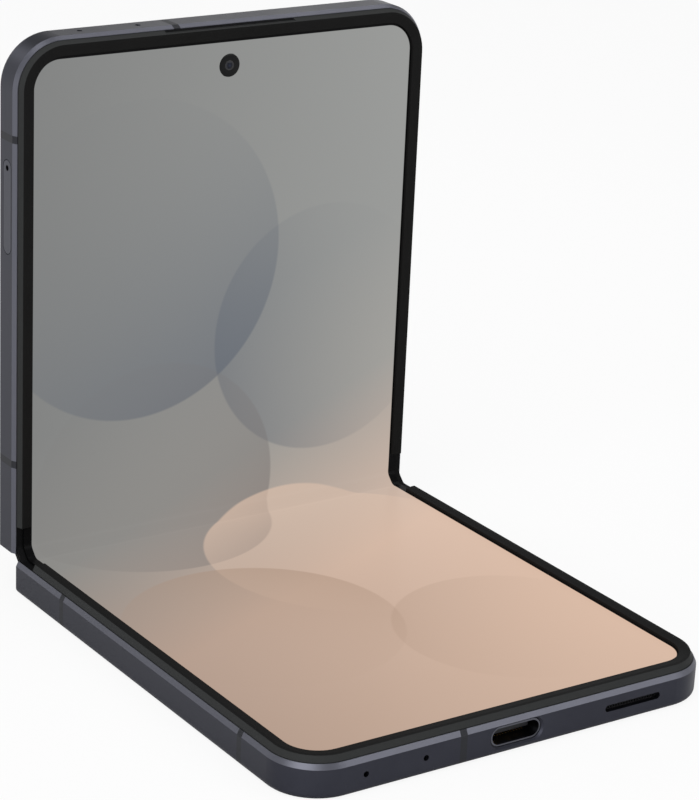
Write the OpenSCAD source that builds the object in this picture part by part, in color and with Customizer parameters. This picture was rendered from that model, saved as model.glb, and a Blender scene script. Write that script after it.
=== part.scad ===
// Foldable clamshell phone, drawn with its two halves at a right angle.
// X runs along the hinge, the lower half lies on its rear face with the display up,
// its free end points to -Y and the upper half stands at the back.
// The origin is the middle of the lower half's rear face.
// Pieces of a half are drawn in the half's own frame: X, V from the fold to the free end,
// Z from the rear face. Pieces of the hinge are drawn in the spine's frame: X, Y across the
// fold, W up from the display surface.

/* [Body] */
// Width of the phone, along the hinge
body_w = 75.2; // [72:0.1:82]
// Length of each half, from the fold to its free end
half_l = 83.35; // [82:0.05:92]
// Height of the metal frame above the rear face
frame_h = 5.45; // [5.3:0.05:5.6]
// Height of the display surface above the rear face
display_z = 5.8; // [5.7:0.05:6.2]
// Height of the bezel's ridge above the display surface
bezel_rise = 0.7; // [0.5:0.05:0.9]
// Plan radius of the free corners
corner_r = 8; // [6.5:0.5:10]
// Rounding along the rear edges of the frame
edge_r = 0.9; // [0.5:0.1:1.1]
// Width of the bevel along the rim
bevel_w = 0.4; // [0.2:0.05:0.45]
// Height of the bevel along the rim
bevel_h = 0.8; // [0.4:0.1:1]
// Thickness of the frame's side wall
wall = 1.5; // [1.4:0.05:1.8]
// Thickness of the rim that stands outside the bezel
rim_t = 0.5; // [0.47:0.01:0.55]
// Thickness of the plate between the battery and the display
midplate_t = 0.5; // [0.4:0.05:0.6]
// Thickness of the rear glass
glass_t = 0.6; // [0.5:0.05:0.7]
// Distance from a side of the phone to the edge of the rear glass
glass_inset = 1.15; // [1.12:0.01:1.3]

/* [Display] */
// Thickness of the flexible display panel
panel_t = 0.45; // [0.4:0.01:0.47]
// Thickness of the metal plate behind each flat part of the display
plate_t = 0.25; // [0.2:0.01:0.3]
// Distance from a side of the phone to the edge of the display panel
panel_inset = 1.7; // [1.65:0.05:1.8]
// Distance from a side of the phone to the inner edge of the bezel
bezel_inset = 2.75; // [2.5:0.05:3]
// Distance from a side of the phone to the ridge of the bezel
ridge_inset = 1.02; // [0.9:0.02:1.1]
// Distance from the fold to the end of each bezel arm
bezel_end = 4.7; // [4.65:0.05:6]
// Radius of the camera hole in the display
punch_r = 1.9; // [1.8:0.05:2.2]
// Distance from the free end to the middle of the camera hole
punch_end = 7.1; // [7:0.1:7.4]

/* [Fold] */
// Angle between the two display faces as drawn
opening_deg = 90; // [85:1:100]
// Distance of each hinge axis from the fold's middle when the phone is flat
axis_e = 1.05; // [1:0.01:1.1]
// Gap between the two frames when the phone is flat
butt_gap = 0.2; // [0.16:0.02:0.3]
// Outer radius of the spine about each hinge axis
spine_r = 3.2; // [3.15:0.01:3.25]
// Clearance between the spine and the frames around it
spine_gap = 0.15; // [0.12:0.01:0.2]
// Wall thickness of the spine
spine_t = 0.5; // [0.45:0.01:0.5]
// Depth of the spine's edges below the display surface
spine_rim = 0.5; // [0.5:0.01:0.55]
// Depth of the tops of the hinge blocks below the display surface
block_top = 1; // [0.98:0.01:1.05]
// Flat stretch of panel between each display plate and its hinge axis
flex_a = 1.9; // [1.7:0.1:2.1]
// Thickness of the frame's side walls beside the spine
spine_side = 1.6; // [1.55:0.05:1.7]
// Radius of the end caps about each hinge axis
cap_r = 2.4; // [2.2:0.05:2.5]
// Depth of the tops of the end caps below the display surface
cap_top = 0.75; // [0.72:0.01:0.8]
// Depth of the undersides of the end caps below the display surface
cap_bottom = 1.5; // [1.4:0.05:1.7]
// Thickness of the seal strips beside the folding part of the display
seal_t = 0.2; // [0.15:0.01:0.22]

/* [Hinge works] */
// Distance of each hinge block's middle from the phone's middle
block_x = 22; // [19.5:0.5:23]
// Half the length of each hinge block
block_half = 9.2; // [9.2:0.1:9.6]
// Inner radius of the arc rails
rail_r0 = 1.4; // [1.38:0.01:1.42]
// Outer radius of the arc rails
rail_r1 = 2.1; // [2.05:0.01:2.12]
// Thickness of the arms where they cross the spine's edge
arm_t = 0.4; // [0.35:0.01:0.4]
// Distance the arms reach into each half
arm_reach = 15; // [13:0.5:16]
// Running clearance of the rails, gears and shafts
run_gap = 0.05; // [0.03:0.01:0.06]
// Size of one gear tooth, as pitch diameter over tooth count
gear_m = 0.125; // [0.12:0.001:0.126]
// Teeth on the full circle of each arm's gear sector
sector_n = 22; // [22:1:22]
// Teeth of each pinion
pinion_n = 8; // [8:1:8]
// Teeth of each idler
idler_n = 12; // [12:1:12]
// Depth of the idlers' shafts below the display surface
idler_w = 1.8; // [1.79:0.01:1.81]
// Radius of the gear shafts
shaft_r = 0.25; // [0.2:0.01:0.26]

/* [Ports] */
// Height of the ports' middles above the rear face
port_z = 2.75; // [2.7:0.05:2.85]
// Width of the charging port's opening
usb_w = 8.34; // [8.3:0.01:8.5]
// Height of the charging port's opening
usb_h = 2.56; // [2.5:0.01:2.6]
// Wall of the charging port's shell
usb_wall = 0.25; // [0.2:0.01:0.28]
// Length of the charging port's shell
usb_l = 7.3; // [7:0.1:8]
// Length of the loudspeaker slot
speaker_l = 10.3; // [9:0.1:12]
// Height of the loudspeaker slot
speaker_h = 1.1; // [0.9:0.05:1.3]
// Distance of the loudspeaker slot's middle from the side of the phone
speaker_side = 16.3; // [15.6:0.1:17.1]
// Radius of the microphone holes
mic_r = 0.45; // [0.3:0.05:0.6]
// Distance of the lower half's outer microphone hole from the side of the phone
mic_side = 11.4; // [10.6:0.1:12.6]
// Distance from the outer to the inner microphone hole
mic_step = 10.2; // [9:0.1:11]
// How much nearer the middle the upper half's microphone holes are
mic_shift = 1; // [0:0.1:2]
// Length of the earpiece slot
earpiece_l = 23.7; // [20:0.1:26]
// Width of each antenna break
break_w = 1.2; // [1:0.1:1.6]
// Distance of the side antenna breaks from the ends of each half
break_end = 15.3; // [15:0.1:16]
// Distance of the end antenna break from the phone's middle
break_x = 9.5; // [9.2:0.1:11]

/* [Keys and tray] */
// Distance of the card tray's middle from the free end
tray_end = 26.35; // [25.85:0.1:26.85]
// Length of the card tray's face
tray_l = 14.9; // [14.5:0.1:15.2]
// Height of the card tray's face
tray_h = 2.5; // [2.4:0.1:2.6]
// Depth of the card tray behind its face
tray_d = 18.5; // [18:0.1:18.8]
// Height of the tray's and the keys' middles above the rear face
side_z = 3; // [2.95:0.05:3.05]
// Distance of the power key's middle from the free end
power_end = 42.35; // [41.35:0.5:44.35]
// Length of the power key
power_l = 11; // [9:0.5:12]
// Distance of the volume rocker's middle from the free end
volume_end = 25.35; // [24.85:0.5:26.35]
// Length of the volume rocker
volume_l = 17; // [14:0.5:17]
// Height of the keys
key_h = 2.2; // [1.8:0.1:2.3]
// How far the keys stand out of the frame
key_out = 0.3; // [0.2:0.05:0.4]
// Gap between a key or the tray and its slot
key_gap = 0.1; // [0.08:0.01:0.12]

/* [Inside] */
// Distance from a side of the phone to the cell in the lower half
cell_low_side = 9.1; // [8.6:0.5:12.6]
// Distance from a side of the phone to the cell in the upper half
cell_up_side = 5.6; // [5.1:0.5:9.6]
// Distance from each cell to the board beyond it
cell_gap = 1.5; // [1.5:0.5:5]
// Distance from the free end to the near edge of the lower half's board
board_low_end = 22.85; // [22.1:0.25:24.6]
// Distance from the free end to the near edge of the upper half's board
board_up_end = 37.35; // [36.6:0.25:39.1]
// Distance from the coil's rim to the ends of the cell above it
coil_margin = 1; // [0.5:0.5:3]
// Radius of the rear lens rings
ring_r = 6.2; // [5.9:0.1:6.4]
// How far the lens rings stand out of the rear glass
ring_out = 1; // [0.8:0.1:1.2]
// Distance of the main camera from the side of the phone
cam_side = 12.6; // [12.1:0.1:13.1]
// Distance from the main camera to the wide camera
cam_step = 14.2; // [13.9:0.1:14.4]
// Distance of the rear cameras from the free end
cam_end = 14; // [13.5:0.1:14.5]

/* [Hidden] */
$fn = 64;
eps = 0.01;
fold_a = (180 - opening_deg) / 2;
fold_rad = fold_a * PI / 180;
hx = body_w / 2;
butt = butt_gap / 2;
stack_t = panel_t + plate_t;
ledge_z = display_z - stack_t;
mid_z = ledge_z - midplate_t;
groove = 0.07;
plate_start = 5;
arm_step = 4.25;
mid_start = 5.05;
panel_start = axis_e + flex_a;
plate_inset = panel_inset + 0.2;
lip_l = 1.6;
hinge_wall_v = 6.2;
// hinge cavity and spine
cavity_r = spine_r + spine_gap;
spine_in = spine_r - spine_t;
spine_hx = hx - spine_side - spine_gap;
cap_x = hx - rim_t - 0.1;
// radius of the display's curve, from its unchanging length
fold_r = axis_e * (1 / cos(fold_a) - 1) / (tan(fold_a) - fold_rad);
// depth of the curve's middle, in the spine's frame
curve_w = (fold_r - axis_e * sin(fold_a)) / cos(fold_a) - fold_r;
curve_steps = 8;
// arms: thin stretch over the spine's edge, thick plate in the half
arm_top = panel_t + 0.1;
arm_low = arm_top + arm_t;
arm_plate_t = 0.8;
arm_x0 = -7;
arm_x1 = -4;
tooth_x0 = -2.6;
tooth_x1 = -1.4;
gear_x = 0.6;
pocket_x = 3;
rail_end = 153;
arm_gap = 0.1;
// gear train, in the spine's frame
sector_pr = gear_m * sector_n / 2;
pinion_pr = gear_m * pinion_n / 2;
idler_pr = gear_m * idler_n / 2;
idler_p = [-idler_pr, -idler_w];
axis_p = [-axis_e, 0];
reach_a = sector_pr + pinion_pr;
reach_i = pinion_pr + idler_pr;
span = norm(idler_p - axis_p);
unit = (idler_p - axis_p) / span;
along = (reach_a * reach_a - reach_i * reach_i + span * span) / (2 * span);
aside = sqrt(reach_a * reach_a - along * along);
pinion_p = axis_p + along * unit + aside * [unit[1], -unit[0]];
function dir(a, b) = atan2(b[1] - a[1], b[0] - a[0]);
// angle of a gear's tooth that meshes with a gear of n1 teeth turned by a1, in the direction d
function meshed(d, a1, n1, n2) = d + 180 - (180 - (d - a1) * n1) / n2;
sector_dir = dir(axis_p, pinion_p);
pinion_a = meshed(sector_dir, sector_dir, sector_n, pinion_n);
idler_a = meshed(dir(pinion_p, idler_p), pinion_a, pinion_n, idler_n);
idler2_a = meshed(0, idler_a, idler_n, idler_n);
pinion2_a = meshed(-dir(pinion_p, idler_p), idler2_a, idler_n, pinion_n);
sector2_a = meshed(-sector_dir, pinion2_a, pinion_n, sector_n);
tip_add = 0.8 * gear_m;
root_add = 1.05 * gear_m;
flex_w = 12;
flex_t = 0.1;
flex_reach = 9;
lip_edge_r = 0.7;
shaft_half = 3.7;
spine_end_t = 0.8;
rod_r = 0.3;
rod_l = 3.5;
rod_head_r = 0.8;
rod_y = 1.2;
rod_w = 1.8;
washer_r = 0.72;
washer_t = 0.14;
washer_rise = 0.2;
washer_step = 0.36;
washers = 8;
// screws
screw_r = 0.6;
screw_head_r = 1.1;
screw_head_t = 0.5;
screw_v = [8.5, 13];
screw_dx = -4.2;
block_screw_r = 0.5;
block_screw_x = 8.2;
// cells and coil
cell_v = 17;
board_low_v = half_l - board_low_end;
board_up_v = half_l - board_up_end;
cell_low_w = body_w - 2 * cell_low_side;
cell_low_l = board_low_v - cell_gap - cell_v;
cell_up_w = body_w - 2 * cell_up_side;
cell_up_l = board_up_v - cell_gap - cell_v;
cell_r = 1.2;
cell_seal_l = 3.5;
cell_seal_in = 3;
coil_r = cell_low_l / 2 - coil_margin;
coil_t = 0.4;
coil_sheet_t = 0.15;
coil_turns = 9;
coil_steps = 32;
coil_wire = 0.7;
coil_pitch = 1.1;
// pieces behind the ports
usb_back = 0.4;
tongue_w = 6.7;
tongue_t = 0.7;
tongue_foot = [7.2, 1.2, 1.8];
shell_w = usb_w + 2 * usb_wall;
shell_h = usb_h + 2 * usb_wall;
board_low_top = port_z - shell_h / 2;
port_set = 0.4;
mic_x1 = hx - mic_side;
mic_box = [3.4, 2.6, 2.1];
mic_gap = 0.1;
speaker_x = hx - speaker_side;
speaker_box = [15.6, 16.8];
cone_r = 5;
mesh_pitch = [0.5, 0.44];
mesh_hole_r = 0.15;
motor = [11, 10, 2.6];
motor_side = 6.1;
motor_end = 19.35;
// upper half stack
screen_t = 0.4;
screen_top = glass_t + screen_t;
board_z = screen_top + 0.2;
board_t = 0.8;
board_top = board_z + board_t;
spreader_t = 0.4;
spreader_z = mid_z - spreader_t;
tray_body_h = 1;
reader_gap = 0.1;
reader_t = 0.25;
reader_back = 0.6;
card = [12.3, 8.8, 0.67];
main_cam_x = hx - cam_side;
wide_cam_x = main_cam_x - cam_step;
cam_v = half_l - cam_end;
punch_v = half_l - punch_end;
main_cam_s = 10.4;
wide_cam_s = 9;
front_cam_s = 6;
lens_r = ring_r - 0.95;
key_flange = 0.5;
key_in = 0.5;
tray_v = half_l - tray_end;
power_v = half_l - power_end;
volume_v = half_l - volume_end;
strip_t = 0.4;
strip_h = 3;
strip_split = 1.4;
switch_gap = 0.3;
power_back = 0.05;
rocker_back = 0.55;
strip_back = 1.6;
pin_r = 0.3;
lug_top = 1.3;
tray_face_t = 1;
tray_v0 = 7.2;
tray_v1 = 5.2;
pin_dv = 6.2;
eject_r = 0.45;
card_x = -hx + 3;
card_v = tray_v - 5.4;
barrel_r = 3.2;
cam_z = 1.3;
flash_x = (main_cam_x + wide_cam_x) / 2;
flash_dv = 6.5;
flash_r = 1.5;
ear_slot = 0.35;
ear_x = 4;
ear_box = [11, 7.6];
ear_duct = [7, 2.6];
ear_port_r = 2;
can_near = 1;
can_gap = 3.15;
can_reader_gap = 1.5;
can_side = 8.6;
can_x0 = -hx + tray_d + reader_back + can_reader_gap;
can_x1 = hx - can_side;
can_w = can_x1 - can_x0;
can_l = cam_v - main_cam_s / 2 - can_gap - board_up_v - can_near;
can_h = 1.9;

// ---- places of the three groups -------------------------------------------------

// turns about an axis along X at the display surface, at the place y
module turn_about(y, a) {
    translate([0, y, display_z]) rotate([a, 0, 0]) translate([0, -y, -display_z]) children();
}

module in_lower() {
    translate([0, half_l / 2, 0]) mirror([0, 1, 0]) children();
}

module in_spine() {
    turn_about(half_l / 2 - axis_e, fold_a) translate([0, half_l / 2, display_z]) children();
}

module in_upper() {
    turn_about(half_l / 2 - axis_e, fold_a) turn_about(half_l / 2 + axis_e, fold_a)
        translate([0, half_l / 2, 0]) children();
}

// turns a half's arms round for the upper half, whose side is -1
module flip(side) {
    mirror([side < 0 ? 1 : 0, 0, 0]) children();
}

// ---- shared shapes ---------------------------------------------------------------

// pushes a drawing of the Y-Z plane along X
module along_x(x0, x1) {
    translate([x0, 0, 0]) rotate([90, 0, 90]) linear_extrude(x1 - x0) children();
}

// box from its two corners
module box(a, b) {
    translate(a) cube([b[0] - a[0], b[1] - a[1], b[2] - a[2]]);
}

// plan outline of a half, inset from its sides, from v0 to the free end
module outline(inset, v0) {
    r = corner_r - inset;
    w = hx - inset;
    l = half_l - inset;
    translate([-w, v0]) square([2 * w, l - r - v0]);
    translate([-(w - r), v0]) square([2 * (w - r), l - v0]);
    for (s = [-1, 1]) translate([s * (w - r), l - r]) circle(r);
}

// plate with a half's outline
module slab(inset, v0, z0, z1) {
    translate([0, 0, z0]) linear_extrude(z1 - z0) outline(inset, v0);
}

// carries a profile, drawn as distance inwards and height, round a half's three sides
module round_rim(v0) {
    l = half_l - corner_r;
    for (s = [0, 1]) mirror([s, 0, 0]) {
        translate([0, l, 0]) rotate([90, 0, 0]) linear_extrude(l - v0)
            translate([hx, 0]) mirror([1, 0]) children();
        translate([hx - corner_r, l, 0]) rotate_extrude(angle = 90)
            translate([corner_r, 0]) mirror([1, 0]) children();
    }
    translate([-(hx - corner_r), 0, 0]) rotate([90, 0, 90]) linear_extrude(2 * (hx - corner_r))
        translate([half_l, 0]) mirror([1, 0]) children();
}

// slot with round ends: l long and h high in all, along X, cut along Y from 0 to d
module slot_y(l, h, d) {
    for (s = [-1, 1]) translate([s * (l - h) / 2, 0, 0]) rotate([-90, 0, 0]) cylinder(h = d, d = h);
    translate([-(l - h) / 2, 0, -h / 2]) cube([l - h, d, h]);
}

// the same slot with its length along Y, cut along X
module slot_x(l, h, d) {
    rotate([0, 0, -90]) slot_y(l, h, d);
}

// bevelled mouth of a slot, c wide, that opens towards +Y
module slot_mouth(l, h, c) {
    r = h / 2;
    for (s = [-1, 1]) translate([s * (l - h) / 2, 0, 0]) rotate([90, 0, 0])
        cylinder(h = c, r1 = r + c, r2 = r);
    along_x(-(l - h) / 2, (l - h) / 2) polygon([[0, r + c], [-c, r], [-c, -r], [0, -r - c]]);
}

// ---- frame of a half ---------------------------------------------------------------

function arc(r, cx, cy, a0, a1, n) =
    [for (i = [0:n]) let (a = a0 + (a1 - a0) * i / n) [cx + r * cos(a), cy + r * sin(a)]];

module rim_profile(depth) {
    inner = min(depth, wall);
    polygon(concat(
        [[glass_inset, glass_t], [glass_inset, 0]],
        arc(edge_r, edge_r, edge_r, 270, 180, 6),
        [[0, frame_h - bevel_h], [bevel_w, frame_h], [rim_t, frame_h], [rim_t, ledge_z],
         [inner, ledge_z], [inner, glass_t]]));
}

// hinge cavity of a half, as a drawing of V and Z, for a spine radius r
module cavity_shape(r) {
    translate([axis_e, display_z]) circle(r);
    translate([-1, display_z - r]) square([axis_e + 1, r + 3]);
    translate([-1, display_z]) square([axis_e + r + 1, 3]);
}

module antenna_slots() {
    d = wall - 0.3;
    for (s = [-1, 1]) for (v = [break_end, half_l - break_end])
        translate([s * (hx - d / 2), v, frame_h / 2]) cube([d + eps, break_w, frame_h + 1], center = true);
    translate([-break_x, half_l - d / 2, frame_h / 2])
        cube([break_w, d + eps, frame_h + 1], center = true);
}

module arm_screw_places() {
    for (c = [-1, 1]) for (v = screw_v) translate([c * block_x + screw_dx, v, 0]) children();
}

// metal frame of a half: rim, middle plate and hinge end, without its ports
module half_frame(side) {
    difference() {
        union() {
            round_rim(butt) rim_profile(wall);
            slab(wall - 0.1, mid_start, mid_z, ledge_z);
            box([-hx + wall - 0.1, butt, glass_t], [hx - wall + 0.1, hinge_wall_v, mid_z + eps]);
            box([-hx + edge_r + 0.1, butt, 0], [hx - edge_r - 0.1, lip_l, glass_t + eps]);
        }
        along_x(-spine_hx - spine_gap, spine_hx + spine_gap) cavity_shape(cavity_r);
        along_x(-cap_x - 0.1, cap_x + 0.1) cavity_shape(cap_r + spine_gap);
        // passages of the arms and of the flex cable through the hinge wall
        for (c = [-1, 1]) flip(side)
            box([c * block_x + arm_x0 - arm_gap, axis_e, mid_z - arm_plate_t - arm_gap],
                [c * block_x + tooth_x1 + arm_gap, hinge_wall_v + eps, display_z]);
        box([-flex_w / 2 - 0.3, axis_e, mid_z - 1.1], [flex_w / 2 + 0.3, hinge_wall_v + eps, display_z]);
        flip(side) arm_screw_places() translate([0, 0, mid_z - 1]) cylinder(h = 3, r = screw_r + run_gap);
        lip_round();
        antenna_slots();
    }
}

// takes off the outer rear edge of the hinge end
module lip_round() {
    r = lip_edge_r;
    along_x(-hx - 1, hx + 1) difference() {
        translate([butt - 1, -1]) square([r + 1, r + 1]);
        translate([butt + r, r]) circle(r);
    }
}

module antenna_inserts() {
    color([0.24, 0.25, 0.29]) intersection() {
        round_rim(butt) rim_profile(wall);
        antenna_slots();
    }
}

module rear_glass(tone) {
    color(tone) slab(glass_inset + 0.05, lip_l + 0.05, 0, glass_t);
}

module bezel_profile() {
    p0 = rim_t + groove;
    top = display_z + bezel_rise;
    polygon([[p0, ledge_z], [p0, frame_h + 0.1], [ridge_inset, top], [ridge_inset + 0.45, top],
        [bezel_inset, top - 0.15], [bezel_inset, display_z],
        [panel_inset - 0.05, display_z], [panel_inset - 0.05, ledge_z]]);
}

module bezel() {
    color([0.13, 0.13, 0.13]) round_rim(bezel_end) bezel_profile();
}

module display_plate() {
    slab(plate_inset, plate_start, ledge_z, ledge_z + plate_t);
}

module display_panel() {
    slab(panel_inset, panel_start, display_z - panel_t, display_z);
}

// hinge arms of a half: screwed plate, thin tongue, arc rail and gear sector
module hinge_arms(tooth_a) {
    z1 = display_z - arm_top;
    z0 = display_z - arm_low;
    color([0.62, 0.63, 0.65]) for (c = [-1, 1]) translate([c * block_x, 0, 0]) {
        difference() {
            union() {
                box([arm_x0, arm_step, mid_z - arm_plate_t], [tooth_x1, arm_reach, mid_z]);
                box([arm_x0, arm_step, mid_z - arm_plate_t], [tooth_x1, mid_start - 0.05, z1]);
                box([arm_x1 - eps, axis_e + rail_r1 + 0.5, z0], [tooth_x0 + eps, arm_step + eps, z1]);
                box([tooth_x0, axis_e, z0], [tooth_x1, arm_step + eps, z1]);
            }
            for (v = screw_v) translate([screw_dx, v, 0]) cylinder(h = 9, r = screw_r + run_gap);
        }
        along_x(arm_x0, arm_x1) difference() {
            union() {
                below(z1) translate([axis_e, display_z]) ring_part();
                translate([axis_e + rail_r0 - 0.3, z0])
                    square([arm_step - axis_e - rail_r0 + 0.3 + eps, arm_t]);
            }
            translate([axis_e, display_z]) circle(rail_r0);
        }
        along_x(tooth_x0, tooth_x1) below(z1) translate([axis_e, display_z]) toothed(sector_n, tooth_a);
    }
}

// keeps what lies below the height z of a drawing
module below(z) {
    intersection() {
        children();
        translate([-9, z - 18]) square([18, 18]);
    }
}

// ring of the arc rail, open where it would leave its block
module ring_part() {
    difference() {
        circle(rail_r1);
        circle(rail_r0);
        polygon([[0, 0], 9 * [cos(rail_end), -sin(rail_end)], [-9, 9], [9, 9], [9, 0]]);
    }
}

// gear outline with n teeth, one of them turned to the angle a
module toothed(n, a) {
    p = 360 / n;
    pr = gear_m * n / 2;
    root = pr - root_add;
    tip_r = pr + tip_add;
    function at(r, t) = [r * cos(t), r * sin(t)];
    polygon([for (k = [0:n - 1]) let (t = a + k * p)
        each [at(root, t - 0.27 * p), at(pr, t - 0.2 * p), at(tip_r, t - 0.09 * p),
              at(tip_r, t + 0.09 * p), at(pr, t + 0.2 * p), at(root, t + 0.27 * p)]]);
}

module arm_screws() {
    color([0.7, 0.7, 0.72]) arm_screw_places() {
        translate([0, 0, mid_z - arm_plate_t - screw_head_t]) difference() {
            cylinder(h = screw_head_t, r = screw_head_r);
            translate([0, 0, -eps]) for (a = [0, 90]) rotate([0, 0, a])
                translate([-0.7, -0.15, 0]) cube([1.4, 0.3, 0.25]);
        }
        translate([0, 0, mid_z - arm_plate_t]) cylinder(h = arm_plate_t + midplate_t, r = screw_r);
    }
}

module microphones(z0, shift) {
    color([0.75, 0.7, 0.5]) mic_places(shift)
        translate([-mic_box[0] / 2, half_l - wall - mic_box[1] - mic_gap, z0]) cube(mic_box);
}

module mic_holes(shift) {
    mic_places(shift) translate([0, half_l - wall - 1, port_z]) rotate([-90, 0, 0])
        cylinder(h = wall + 2, r = mic_r);
}

module mic_places(shift) {
    for (k = [0, 1]) translate([-mic_x1 + shift + k * mic_step, 0, 0]) children();
}

// ---- lower half --------------------------------------------------------------------

module lower_frame() {
    color([0.28, 0.285, 0.32]) in_lower() difference() {
        half_frame(1);
        translate([0, half_l - wall - 1, port_z]) slot_y(shell_w + 0.1, shell_h + 0.1, wall + 2);
        translate([0, half_l, port_z]) slot_mouth(shell_w + 0.1, shell_h + 0.1, 0.3);
        translate([speaker_x, half_l - wall - 1, port_z]) slot_y(speaker_l, speaker_h, wall + 2);
        mic_holes(0);
    }
}

module lower_antenna_inserts() {
    in_lower() antenna_inserts();
}

module lower_rear_cover() {
    in_lower() rear_glass([0.27, 0.3, 0.38]);
}

module lower_bezel() {
    in_lower() bezel();
}

module lower_display_plate() {
    color([0.6, 0.61, 0.63]) in_lower() display_plate();
}

module lower_display() {
    color([0.6, 0.58, 0.56]) in_lower() display_panel();
}

module lower_battery() {
    color([0.1, 0.1, 0.11]) in_lower() cell(cell_low_w, cell_low_l, glass_t + coil_t + 0.1, mid_z);
}

// flat cell with rounded sides and a sealed edge at its far end
module cell(w, l, z0, z1) {
    translate([0, cell_v, z0]) linear_extrude(z1 - z0) round_rect(w, l - cell_seal_l + 1, cell_r);
    translate([0, cell_v + l - cell_seal_l, (z0 + z1) / 2]) linear_extrude((z1 - z0) / 2)
        round_rect(w - 2 * cell_seal_in, cell_seal_l, 0.5);
}

// rectangle with round corners, w wide and centred on X, that starts at Y = 0
module round_rect(w, l, r) {
    translate([-w / 2, r]) square([w, l - 2 * r]);
    translate([-w / 2 + r, 0]) square([w - 2 * r, l]);
    for (x = [-w / 2 + r, w / 2 - r]) for (y = [r, l - r]) translate([x, y]) circle(r);
}

// flat spiral of copper on its magnetic sheet
module charging_coil() {
    color([0.72, 0.42, 0.25]) in_lower() translate([0, cell_v + cell_low_l / 2, glass_t]) {
        translate([0, 0, coil_t - coil_sheet_t]) cylinder(h = coil_sheet_t, r = coil_r + 0.4);
        linear_extrude(coil_t - coil_sheet_t + eps) polygon(concat(
            [for (i = [0:coil_turns * coil_steps]) spiral(i, 0)],
            [for (i = [coil_turns * coil_steps:-1:0]) spiral(i, coil_wire)]));
    }
}

function spiral(i, d) = let (a = i * 360 / coil_steps, r = coil_r - coil_pitch * i / coil_steps - d)
    [r * cos(a), r * sin(a)];

module sub_board() {
    color([0.08, 0.2, 0.13]) in_lower() slab(wall + 0.4, board_low_v, glass_t, board_low_top);
}

module usb_shell() {
    color([0.7, 0.71, 0.73]) in_lower() translate([0, half_l - usb_l - port_set, port_z]) difference() {
        slot_y(shell_w, shell_h, usb_l);
        translate([0, usb_back, 0]) slot_y(usb_w, usb_h, usb_l);
    }
}

module usb_tongue() {
    color([0.08, 0.08, 0.09]) in_lower() translate([0, half_l - usb_l - port_set + usb_back, port_z]) {
        box([-tongue_w / 2, 0, -tongue_t / 2], [tongue_w / 2, usb_l - 2, tongue_t / 2]);
        translate([-tongue_foot[0] / 2, 0, -tongue_foot[2] / 2]) cube(tongue_foot);
    }
}

module loudspeaker() {
    x0 = speaker_x - speaker_box[0] / 2 - 0.2;
    v1 = half_l - wall - 0.7;
    color([0.12, 0.12, 0.13]) in_lower() difference() {
        box([x0, v1 - speaker_box[1], board_low_top], [x0 + speaker_box[0], v1, mid_z - 0.1]);
        translate([speaker_x, v1 - 2.8, port_z]) slot_y(speaker_l - 0.8, speaker_h, 4);
        translate([x0 + speaker_box[0] / 2, v1 - speaker_box[1] + cone_r + 1.5, mid_z - 0.4])
            cylinder(h = 1, r = cone_r);
    }
}

module speaker_mesh() {
    color([0.1, 0.1, 0.1]) in_lower() translate([speaker_x, half_l - 1, port_z]) difference() {
        slot_y(speaker_l - 0.04, speaker_h - 0.04, 0.2);
        for (i = [-9:9]) for (j = [-1, 1]) translate([i * mesh_pitch[0], -1, j * mesh_pitch[1] / 2])
            rotate([-90, 0, 0]) cylinder(h = 3, r = mesh_hole_r);
    }
}

module vibration_motor() {
    color([0.66, 0.66, 0.68]) in_lower()
        translate([-hx + motor_side + motor[0] / 2, half_l - motor_end, board_low_top])
            linear_extrude(motor[2]) round_rect(motor[0], motor[1], 1);
}

module lower_microphones() {
    in_lower() microphones(board_low_top, 0);
}

module lower_hinge_arms() {
    in_lower() hinge_arms(180 - sector_dir);
}

module lower_screws() {
    in_lower() arm_screws();
}

// ---- hinge -------------------------------------------------------------------------

// section of the spine for a radius r, as a drawing of Y and W, cut off at a depth
module spine_shape(r, top) {
    below(-top) {
        for (s = [-1, 1]) translate([s * axis_e, 0]) circle(r);
        translate([-axis_e, -r]) square([2 * axis_e, 2 * r]);
    }
}

module spine_cover() {
    color([0.2, 0.21, 0.24]) in_spine() difference() {
        along_x(-spine_hx, spine_hx) spine_shape(spine_r, spine_rim);
        along_x(-spine_hx + spine_end_t, spine_hx - spine_end_t) spine_shape(spine_in, 0);
        box([-hx, -axis_e - 0.6, -block_top], [hx, axis_e + 0.6, 1]);
        for (c = [-1, 1]) for (s = [0, 1]) mirror([s, 0, 0]) mirror([0, s, 0])
            box([c * block_x + arm_x0 - arm_gap, -9, -block_top],
                [c * block_x + tooth_x1 + arm_gap, -axis_e, 1]);
        box([-flex_w / 2 - 0.3, -9, -block_top - 0.6], [flex_w / 2 + 0.3, 9, 1]);
        block_screw_places(-spine_r + 0.15) cylinder(h = 3, r = block_screw_r + run_gap);
    }
}

module block_screw_places(w) {
    for (c = [-1, 1]) for (s = [-1, 1]) translate([c * block_x + s * block_screw_x, 0, w]) children();
}

// groove of an arc rail between two places along X
module rail_groove(x0, x1, y) {
    along_x(x0 - arm_gap, x1 + arm_gap) translate([y, 0]) difference() {
        circle(rail_r1 + run_gap);
        circle(rail_r0 - run_gap);
    }
}

module along_shaft(p, r, h) {
    translate([-h, p[0], p[1]]) rotate([0, 90, 0]) cylinder(h = 2 * h, r = r);
}

function other(p) = [-p[0], p[1]];

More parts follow.
